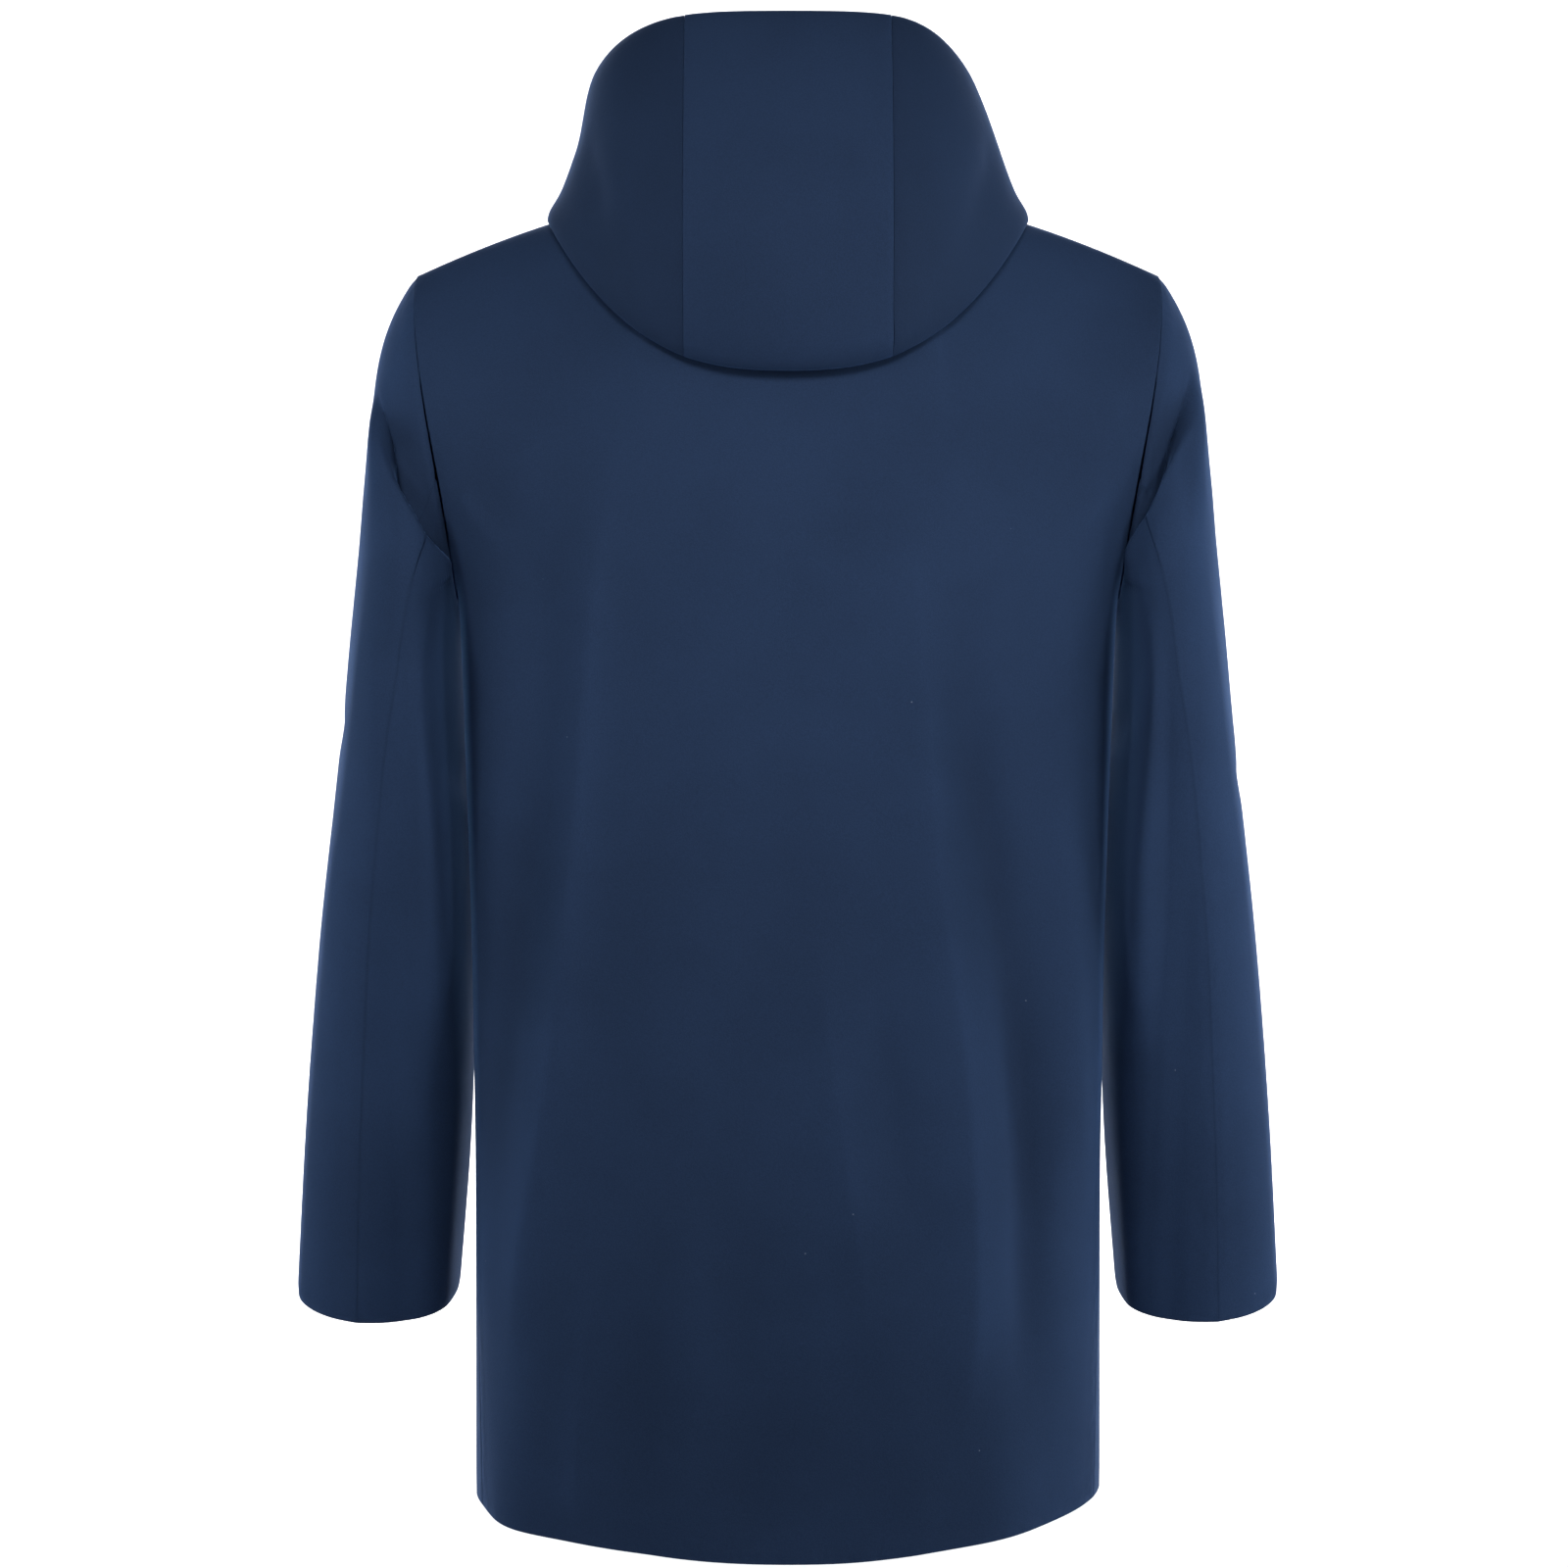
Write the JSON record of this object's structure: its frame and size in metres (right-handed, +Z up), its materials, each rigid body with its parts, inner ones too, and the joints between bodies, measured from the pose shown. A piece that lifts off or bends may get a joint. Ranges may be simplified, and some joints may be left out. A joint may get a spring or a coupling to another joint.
{
  "type": "padded parka",
  "caption": "Thigh-length padded parka with its hood down, closed by a plain front fly, hollow and filled out as worn, with straight sleeves, open cuffs and a dipped hem.",
  "frame": {"origin": "midway between the two neck points, where the shoulder seams meet the neckline, level with them: where the wearer's shoulders hold it up", "axes": "+Z up along the wearer, -Y to the wearer's front, +Y to the back, +X to the wearer's left"},
  "size_m": [0.6746, 0.2809, 0.9868],
  "materials": {
    "shell_cloth": "matte"
  },
  "bodies": {
    "root": {"back_panel": "shell_cloth", "front_left": "shell_cloth", "front_right": "shell_cloth", "front_placket": "shell_cloth", "hood_center": "shell_cloth", "hood_side_left": "shell_cloth", "hood_side_right": "shell_cloth", "sleeve_upper_left": "shell_cloth", "sleeve_upper_right": "shell_cloth", "sleeve_under_left": "shell_cloth", "sleeve_under_right": "shell_cloth"}
  },
  "joints": []
}
